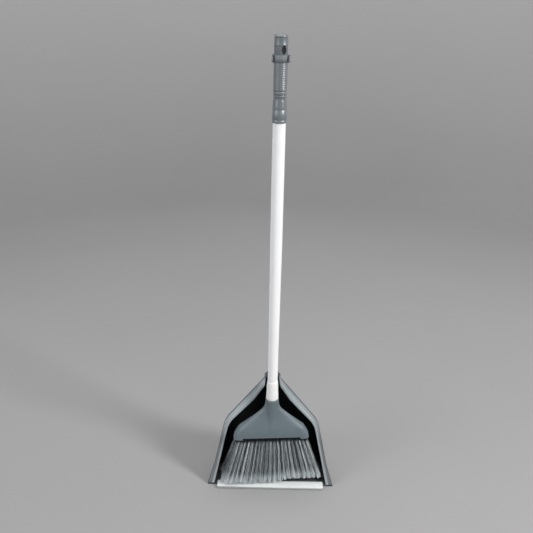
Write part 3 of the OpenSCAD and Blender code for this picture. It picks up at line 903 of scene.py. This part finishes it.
def makeCap(s, name, axisY, turn):
    low = setTop - s["length"]
    r, top, spigotR, foot = s["r"], s["length"], s["spigotR"], -s["spigotLength"]
    profile = [(0, foot), (spigotR - 0.0004, foot), (spigotR, foot + 0.001), (spigotR, 0)]
    profile += [(r + out, up) for out, up in s["foot"]]
    profile += [(r + out, top + up) for out, up in s["crown"]] + [(0, top)]
    cap = turned(name, profile, Vector((0, 0, low)), s["steps"])
    holeZ = low + s["holeUp"]
    nearX, nearZ = s["holeHalfWidth"] + s["maskAside"], s["holeHalfHeight"] + s["maskUp"]

    def drawn(value):
        return math.copysign(abs(value) ** (2 / s["holePower"]), value)

    outline = []
    for i in range(s["holeSteps"]):
        a = 2 * math.pi * i / s["holeSteps"]
        outline.append((
            s["holeHalfWidth"] * drawn(math.cos(a)), holeZ + s["holeHalfHeight"] * drawn(math.sin(a))))
    count = len(outline)
    points = [(x, y, z) for y in (-s["punchHalf"], s["punchHalf"]) for x, z in outline]
    faces = [(i, (i + 1) % count, count + (i + 1) % count, count + i) for i in range(count)]
    faces += [tuple(reversed(range(count))), tuple(range(count, 2 * count))]
    punch = link(bpy.data.objects.new("punch", meshFrom("punch", points, faces)))
    tidyMesh(punch.data)
    carve(cap, [("DIFFERENCE", punch)])
    # painted shade: the hole's lining is painted near black, for the shade inside the hole
    mask = cap.data.attributes.new("paintedHoleShade", "FLOAT", "FACE")
    for face in cap.data.polygons:
        x, y, z = face.center
        outward = face.normal.dot(Vector((x, y, 0)))
        inside = abs(face.normal.y) < s["liningY"] and outward < s["liningOut"] * r
        near = abs(z - holeZ) < nearZ and abs(x) < nearX
        mask.data[face.index].value = 1.0 if inside and near else 0.0
    cap.data.transform(Matrix.Translation((0, axisY, 0)) @ Matrix.Rotation(math.radians(turn), 4, "Z"))
    smoothMesh(cap.data, s["smoothAngle"])
    return cap


panCap = makeCap(capSet, "pan_cap_skin", panAxisY, 0.0)
finishPiece(panCap, "dustpan", "slateCap", ["pan_cap"])
brushCap = makeCap(capSet, "brush_cap_skin", brushAxisY, capSet["turn"])
finishPiece(brushCap, "brush", "slateCap", ["brush_cap"])
print("caps made")


# ferrule, a smooth turned sleeve

ferruleSet = {
    "z": 0.200,
    "length": 0.040,
    "r": 0.0112,
    "bore": 0.00975,
    "foot": [  # (beyond r, above the foot)
        (-0.0009, 0), (-0.0001, 0.0002), (0.0004, 0.0007), (0.0007, 0.0015), (0.0008, 0.0026),
        (0.0008, 0.0060), (0.0007, 0.0095), (0.0003, 0.0150), (0, 0.0200),
    ],
    "crown": [(0, -0.0100), (-0.0003, -0.0070), (-0.0007, -0.0030)],  # (beyond r, below the top)
    "smoothAngle": 50,
}


def makeFerrule(s):
    r, top, bore = s["r"], s["length"], s["bore"]
    profile = [(bore, 0)] + [(r + out, up) for out, up in s["foot"]]
    profile += [(r + out, top + up) for out, up in s["crown"]]
    profile += [(bore + 0.0006, top - 0.0004), (bore + 0.0002, top), (bore, top)]
    return turned("ferrule_skin", profile, Vector((0, brushAxisY, s["z"])), 80)


ferrule = makeFerrule(ferruleSet)
smoothMesh(ferrule.data, ferruleSet["smoothAngle"])
finishPiece(ferrule, "brush", "whitePlastic", ["ferrule"])


# bristles: every strand runs from its tuft's root to its own tip

bristleSet = {
    "columns": 20,
    "rows": 4,
    "strandsPerTuft": 54,
    "rootHalf": 0.0665,  # half the spread of the roots
    "tipHalf": 0.0985,  # half the spread of the tips
    "rowPitch": 0.0053,
    "rowSplay": 2.1,
    "rootSpread": 0.0025,
    "tipSpread": 0.0054,
    "tipDepth": 0.0030,
    "rootZ": 0.118,
    "tipZ": 0.0088,
    "lengthSwing": 0.012,
    "rightRise": 0.0085,  # how much shorter the worn right end is
    "curl": 0.0018,
    "wave": 0.0005,
    "radius": 0.00032,
    "span": 1.94,  # of the columns, where 2 would put the outer ones on the two half spreads
    "lengthPower": 2.2,  # above 1 leaves most strands long
    "wearFrom": 0.08,  # across the brush, where the right end starts to be shorter
    "wearRate": 3.2,
    "sideShade": 0.5,  # painted shade: how much darker a tuft's sides are than its middle, for the shade between tufts
    "crimpTurn": 17.0,
    "crimpShift": 40.0,
    "strandSteps": 7,
    "strandSides": 3,
    "tones": (0.3, 1.05),
    "tuftTones": (-0.1, 0.1),
    "turn": 4.5,
    "seed": 7,
}


class NodeMaker:
    # writes a geometry tree with short calls
    def __init__(self, name):
        self.tree = bpy.data.node_groups.new(name, "GeometryNodeTree")

    def socket(self, label, kind, output=False):
        return self.tree.interface.new_socket(
            label, in_out="OUTPUT" if output else "INPUT", socket_type=kind)

    def add(self, kind, inputs=None, **settings):
        return addNode(self.tree, kind, inputs, **settings)

    def math(self, operation, first, second=0.0):
        return self.add("ShaderNodeMath", {0: first, 1: second}, operation=operation).outputs[0]

    def vector(self, x, y, z):
        return self.add("ShaderNodeCombineXYZ", {0: x, 1: y, 2: z}).outputs[0]

    def addVectors(self, first, second, operation="ADD"):
        return self.add("ShaderNodeVectorMath", {0: first, 1: second}, operation=operation).outputs[0]

    def scaled(self, vector, factor):
        return self.add("ShaderNodeVectorMath", {0: vector, "Scale": factor}, operation="SCALE").outputs[0]

    def random(self, low, high, ident, seed):
        # a Random Value node's float limits are sockets 2 and 3, and its float comes out of 1
        inputs = {2: low, 3: high, "ID": ident, "Seed": seed}
        return self.add("FunctionNodeRandomValue", inputs, data_type="FLOAT").outputs[1]

    def store(self, geometry, name, kind, value):
        inputs = {"Geometry": geometry, "Name": name, "Value": value}
        node = self.add("GeometryNodeStoreNamedAttribute", inputs, data_type=kind, domain="POINT")
        return node.outputs["Geometry"]

    def named(self, name, kind):
        node = self.add("GeometryNodeInputNamedAttribute", {"Name": name}, data_type=kind)
        return node.outputs["Attribute"]


def strandTree(s):
    g = NodeMaker("bristleStrands")
    names = [
        "columns", "rows", "strandsPerTuft", "rootHalf", "tipHalf", "rowPitch", "rowSplay", "rootSpread",
        "tipSpread", "tipDepth", "rootZ", "tipZ", "lengthSwing", "rightRise", "curl", "wave", "radius",
        "span", "lengthPower", "wearFrom", "wearRate", "sideShade", "crimpTurn", "crimpShift",
    ]
    for name in names:
        g.socket(name, "NodeSocketFloat")
    g.socket("seed", "NodeSocketInt")
    g.socket("material", "NodeSocketMaterial")
    g.socket("Geometry", "NodeSocketGeometry", output=True)
    ins = g.tree.nodes.new("NodeGroupInput").outputs
    outs = g.tree.nodes.new("NodeGroupOutput")

    def draw(low, high, ident, order):
        return g.random(low, high, ident, g.math("ADD", ins["seed"], order))

    perColumn = g.math("MULTIPLY", ins["rows"], ins["strandsPerTuft"])
    points = g.add("GeometryNodePoints", {"Count": g.math("MULTIPLY", ins["columns"], perColumn)})
    index = g.add("GeometryNodeInputIndex").outputs[0]
    column = g.math("FLOOR", g.math("DIVIDE", index, perColumn))
    row = g.math("FLOOR", g.math("DIVIDE", g.math("MODULO", index, perColumn), ins["strandsPerTuft"]))
    rowMiddle = g.math("MULTIPLY", g.math("SUBTRACT", ins["rows"], 1.0), 0.5)
    rowAt = g.math("MULTIPLY", g.math("SUBTRACT", row, rowMiddle), ins["rowPitch"])
    # across runs from one end of the brush to the other, and odd rows stand between the even ones
    gaps = g.math("SUBTRACT", ins["columns"], 1.0)
    across = g.math("MULTIPLY", g.math("DIVIDE", column, gaps), ins["span"])
    across = g.math("SUBTRACT", across, g.math("MULTIPLY", ins["span"], 0.5))
    odd = g.math("MODULO", row, 2.0)
    across = g.math("ADD", across, g.math("DIVIDE", g.math("SUBTRACT", 0.5, odd), gaps))
    # a place in a disc, kept by each strand from root to tip
    angle = draw(0.0, 2 * math.pi, index, 0.0)
    reach = g.math("SQRT", draw(0.0, 1.0, index, 1.0))
    discX = g.math("MULTIPLY", g.math("COSINE", angle), reach)
    discY = g.math("MULTIPLY", g.math("SINE", angle), reach)

    def placeIn(middle, half, disc, spread):
        return g.math("ADD", g.math("MULTIPLY", middle, half), g.math("MULTIPLY", disc, spread))

    root = g.vector(
        placeIn(across, ins["rootHalf"], discX, ins["rootSpread"]),
        placeIn(rowAt, 1.0, discY, ins["rootSpread"]),
        ins["rootZ"])
    swing = g.math("POWER", draw(0.0, 1.0, index, 2.0), ins["lengthPower"])
    swing = g.math("MULTIPLY", swing, ins["lengthSwing"])
    worn = g.math("MAXIMUM", g.math("SUBTRACT", across, ins["wearFrom"]), 0.0)
    worn = g.math("MINIMUM", g.math("MULTIPLY", worn, ins["wearRate"]), 1.0)
    worn = g.math("MULTIPLY", worn, ins["rightRise"])
    tip = g.vector(
        placeIn(across, ins["tipHalf"], discX, ins["tipSpread"]),
        placeIn(rowAt, ins["rowSplay"], discY, ins["tipDepth"]),
        g.math("ADD", g.math("ADD", ins["tipZ"], swing), worn))
    bendX, bendY = draw(-1.0, 1.0, index, 3.0), draw(-1.0, 1.0, index, 4.0)
    bend = g.vector(g.math("MULTIPLY", bendX, ins["curl"]), g.math("MULTIPLY", bendY, ins["curl"]), 0.0)
    tuft = g.math("FLOOR", g.math("DIVIDE", index, ins["strandsPerTuft"]))
    tone = g.math("ADD", draw(*s["tones"], index, 6.0), draw(*s["tuftTones"], tuft, 5.0))
    # painted shade between tufts: strands at a tuft's sides get a darker tone
    tone = g.math("SUBTRACT", tone, g.math("MULTIPLY", g.math("ABSOLUTE", discX), ins["sideShade"]))
    geometry = points.outputs[0]
    for label, kind, value in (
        ("strandRoot", "FLOAT_VECTOR", root), ("strandTip", "FLOAT_VECTOR", tip),
        ("strandBend", "FLOAT_VECTOR", bend), ("strandTone", "FLOAT", tone),
    ):
        geometry = g.store(geometry, label, kind, value)
    line = g.add("GeometryNodeCurvePrimitiveLine", {"Start": (0, 0, 0), "End": (0, 0, 1)})
    steps = g.add("GeometryNodeResampleCurve", {"Curve": line.outputs["Curve"], "Count": s["strandSteps"]})
    placed = g.add("GeometryNodeInstanceOnPoints", {"Points": geometry, "Instance": steps.outputs["Curve"]})
    strands = g.add("GeometryNodeRealizeInstances", {"Geometry": placed.outputs["Instances"]}).outputs[0]
    along = g.add("GeometryNodeSplineParameter").outputs["Factor"]
    strands = g.store(strands, "strandAlong", "FLOAT", along)
    start = g.named("strandRoot", "FLOAT_VECTOR")
    fall = g.addVectors(g.named("strandTip", "FLOAT_VECTOR"), start, "SUBTRACT")
    bow = g.math("SINE", g.math("MULTIPLY", along, math.pi))
    bowed = g.addVectors(start, g.scaled(fall, along))
    bowed = g.addVectors(bowed, g.scaled(g.named("strandBend", "FLOAT_VECTOR"), bow))
    phase = g.math("MULTIPLY", g.named("strandTone", "FLOAT"), ins["crimpShift"])
    crimp = g.math("SINE", g.math("ADD", g.math("MULTIPLY", along, ins["crimpTurn"]), phase))
    crimp = g.math("MULTIPLY", g.math("MULTIPLY", crimp, bow), ins["wave"])
    bowed = g.addVectors(bowed, g.vector(crimp, 0.0, 0.0))
    put = g.add("GeometryNodeSetPosition", {"Geometry": strands, "Position": bowed})
    ring = g.add("GeometryNodeCurvePrimitiveCircle", {
        "Resolution": s["strandSides"], "Radius": ins["radius"],
    })
    solid = g.add("GeometryNodeCurveToMesh", {
        "Curve": put.outputs["Geometry"], "Profile Curve": ring.outputs["Curve"], "Fill Caps": True,
    })
    painted = g.add("GeometryNodeSetMaterial", {
        "Geometry": solid.outputs["Mesh"], "Material": ins["material"],
    })
    g.tree.links.new(painted.outputs["Geometry"], outs.inputs["Geometry"])
    return g.tree


def runTree(name, tree, values, turn, place):
    # runs a geometry tree once and keeps its result as a plain mesh
    holder = link(bpy.data.objects.new(name, bpy.data.meshes.new(name)))
    modifier = holder.modifiers.new("made", "NODES")
    modifier.node_group = tree
    for item in tree.interface.items_tree:
        if item.item_type == "SOCKET" and item.in_out == "INPUT" and item.name in values:
            value = values[item.name]
            modifier[item.identifier] = float(value) if item.socket_type == "NodeSocketFloat" else value
    holder.update_tag()
    graph = bpy.context.evaluated_depsgraph_get()
    mesh = bpy.data.meshes.new_from_object(holder.evaluated_get(graph))
    holder.modifiers.remove(modifier)
    mesh.transform(Matrix.Translation(place) @ Matrix.Rotation(math.radians(turn), 4, "Z"))
    holder.data = mesh
    mesh.name = name
    return holder


strands = runTree(
    "bristle_strands", strandTree(bristleSet), {**bristleSet, "material": materials["bristleFibre"]},
    bristleSet["turn"], Vector((0, brushAxisY, 0)))
print("strands", len(strands.data.vertices), "points", len(strands.data.polygons), "faces")
finishPiece(strands, "brush", "bristleFibre", ["bristles"])


# floor and light

stageSet = {
    "color": (0.298, 0.295, 0.297),
    "wallColor": (0.56, 0.555, 0.558),
    "wall": 3.6,  # radius of the round backdrop
    "curve": 1.6,
    "height": 3.4,
    "sides": 96,
    "steps": 24,
    "cloudScale": 1.1,
    "cloudLow": 0.93,
    "cloudHigh": 1.07,
    "wallFrom": 0.05,  # heights between which the floor's colour turns to the wall's
    "wallTo": 1.6,
    "rough": 0.75,
}


def makeStage(s):
    flat, curve = s["wall"] - s["curve"], s["curve"]
    profile = [(flat, 0.0)]
    for i in range(1, s["steps"] + 1):
        a = math.pi / 2 * i / s["steps"]
        profile.append((flat + curve * math.sin(a), curve * (1 - math.cos(a))))
    profile.append((s["wall"], s["height"]))
    points = [(0, 0, 0)]
    for k in range(s["sides"]):
        a = 2 * math.pi * k / s["sides"]
        points += [(r * math.cos(a), r * math.sin(a), z) for r, z in profile]
    count = len(profile)
    faces = []
    for k in range(s["sides"]):
        here, there = 1 + k * count, 1 + (k + 1) % s["sides"] * count
        faces.append((0, here, there))
        faces += [(here + i, here + i + 1, there + i + 1, there + i) for i in range(count - 1)]
    sweep = link(bpy.data.objects.new("stage_sweep", meshFrom("stage_sweep", points, faces)))
    sweep.data.shade_smooth()
    material = bpy.data.materials.new("stagePaper")
    material.use_nodes = True
    tree = material.node_tree
    place = addNode(tree, "ShaderNodeTexCoord").outputs["Object"]
    cloud = noise(tree, place, s["cloudScale"], 3.0)
    low = [part * s["cloudLow"] for part in s["color"]]
    high = [part * s["cloudHigh"] for part in s["color"]]
    color = mixColor(tree, cloud, (*low, 1), (*high, 1))
    height = addNode(tree, "ShaderNodeSeparateXYZ", {"Vector": place}).outputs["Z"]
    rise = mapped(tree, height, s["wallFrom"], s["wallTo"], 0.0, 1.0)
    color = mixColor(tree, rise, color, (*s["wallColor"], 1))
    shader = tree.nodes["Principled BSDF"]
    tree.links.new(color, shader.inputs["Base Color"])
    shader.inputs["Roughness"].default_value = s["rough"]
    sweep.data.materials.append(material)


lights = {
    "keyRight": {
        "place": (2.2, -1.3, 2.0), "aim": (0, 0, 0.4), "size": (0.6, 0.9), "power": 78,
        "color": (1.0, 0.985, 0.97),
    },
    "fillLeft": {
        "place": (-2.4, -1.6, 1.6), "aim": (0, 0, 0.4), "size": (1.6, 1.6), "power": 34,
        "color": (0.96, 0.98, 1.0),
    },
    "topSoft": {
        "place": (0.0, 0.3, 3.0), "aim": (0, 0, 0), "size": (2.6, 2.6), "power": 44,
        "color": (1, 1, 1),
    },
}
airSet = {"color": (0.95, 0.97, 1.0), "strength": 0.42}


def makeLight(name, s):
    data = bpy.data.lights.new(name, "AREA")
    data.shape = "RECTANGLE"
    data.size, data.size_y = s["size"]
    data.energy = s["power"]
    data.color = s["color"]
    lamp = link(bpy.data.objects.new(name, data))
    lamp.location = s["place"]
    lamp.rotation_mode = "QUATERNION"
    lamp.rotation_quaternion = (Vector(s["aim"]) - Vector(s["place"])).to_track_quat("-Z", "Y")


def makeAir(s):
    world = bpy.data.worlds.new("studioAir")
    world.use_nodes = True
    setInputs(world.node_tree, world.node_tree.nodes["Background"], {
        "Color": (*s["color"], 1), "Strength": s["strength"],
    })
    scene.world = world


makeStage(stageSet)
for name, s in lights.items():
    makeLight(name, s)
makeAir(airSet)
scene.view_settings.view_transform = "Standard"
print("stage and lights made")
